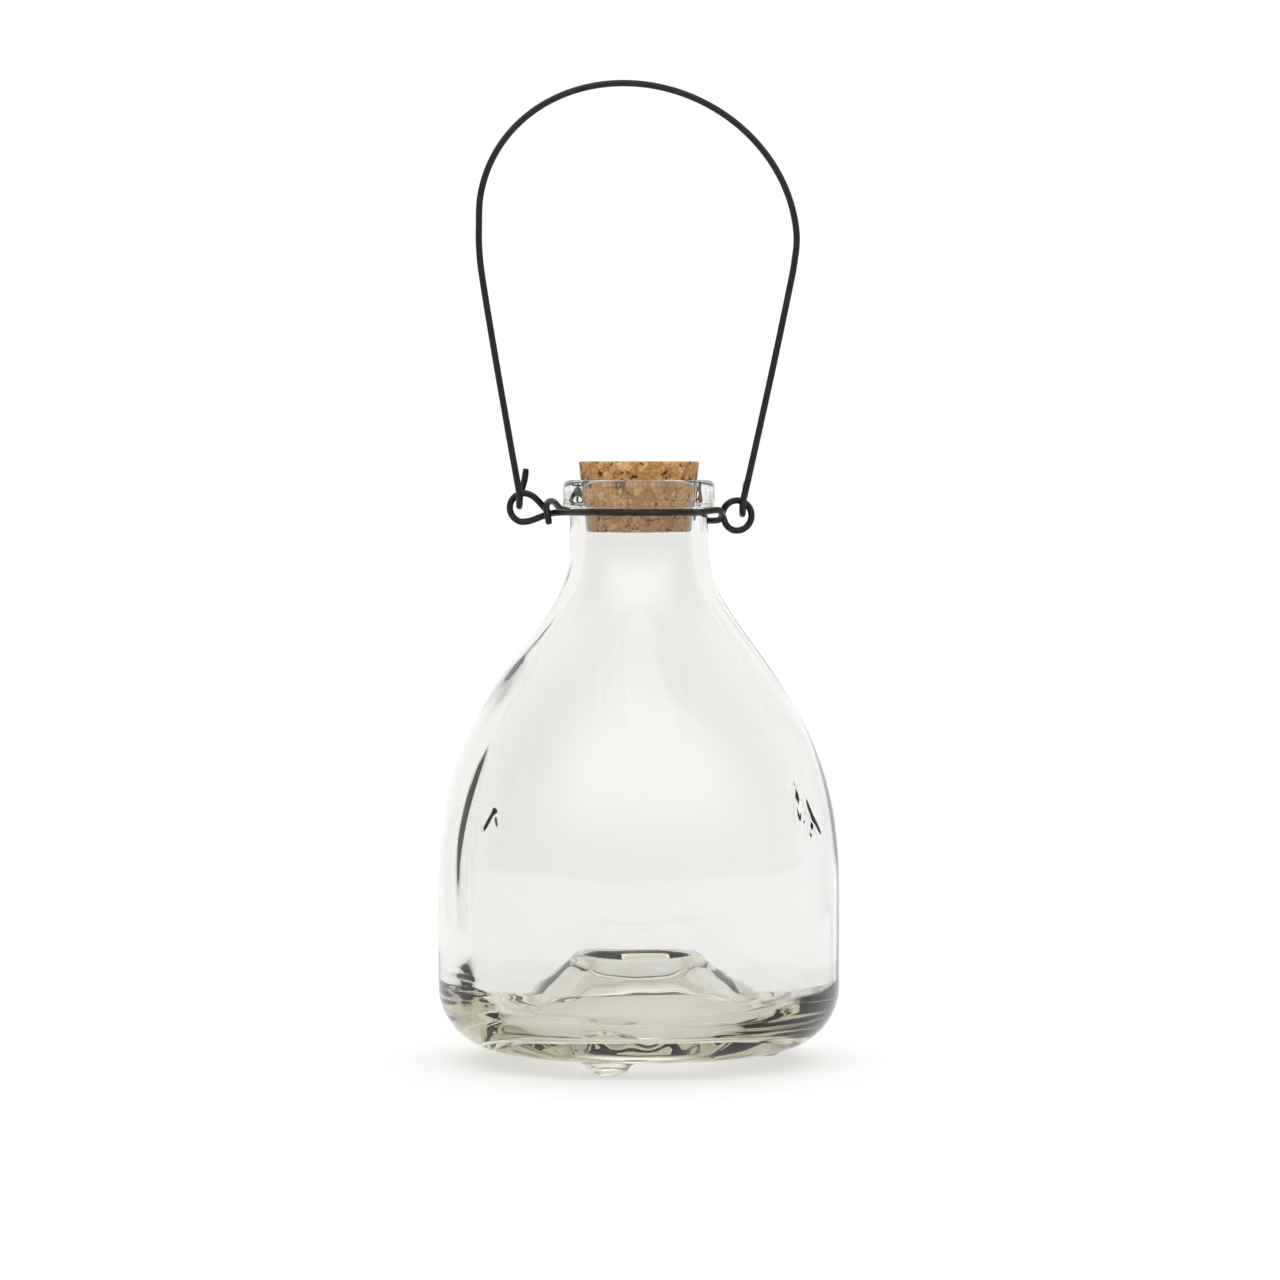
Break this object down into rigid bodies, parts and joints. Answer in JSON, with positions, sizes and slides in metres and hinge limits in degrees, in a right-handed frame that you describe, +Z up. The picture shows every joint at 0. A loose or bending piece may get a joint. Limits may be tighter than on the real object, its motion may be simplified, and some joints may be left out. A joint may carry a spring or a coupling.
{
  "type": "wasp trap",
  "caption": "Hanging glass wasp trap: a bell-shaped bottle with a funnel rising through its open base, a cork in the neck, and a wire bail hooked into a neck wire.",
  "frame": {"origin": "on the bottle's axis, level with the undersides of its feet", "axes": "+Z up along the bottle's axis, +X towards the neck wire's round eye, -Y towards the front"},
  "size_m": [0.1164, 0.1164, 0.2834],
  "materials": {
    "glass": "clear, slightly warm grey where thick",
    "cork": "raw agglomerated cork",
    "black_wire": "satin black coated wire"
  },
  "bodies": {
    "bottle": {"glass_bottle": "glass"},
    "cork": {"cork_stopper": "cork"},
    "collar": {"neck_wire": "black_wire"},
    "bail": {"bail_wire": "black_wire"}
  },
  "joints": [
    {"name": "cork_pull", "type": "slide", "parent": "bottle", "child": "cork", "axis": [0, 0, 1], "range_m": [0, 0.045]},
    {"name": "collar_turn", "type": "hinge", "parent": "bottle", "child": "collar", "pos_m": [0, 0, 0.1589], "axis": [0, 0, 1], "continuous": true},
    {"name": "bail_swing", "type": "hinge", "parent": "collar", "child": "bail", "pos_m": [-0.0022, 0, 0.16299], "axis": [0.9994, 0, -0.0346], "range_deg": [-120, 120]}
  ]
}
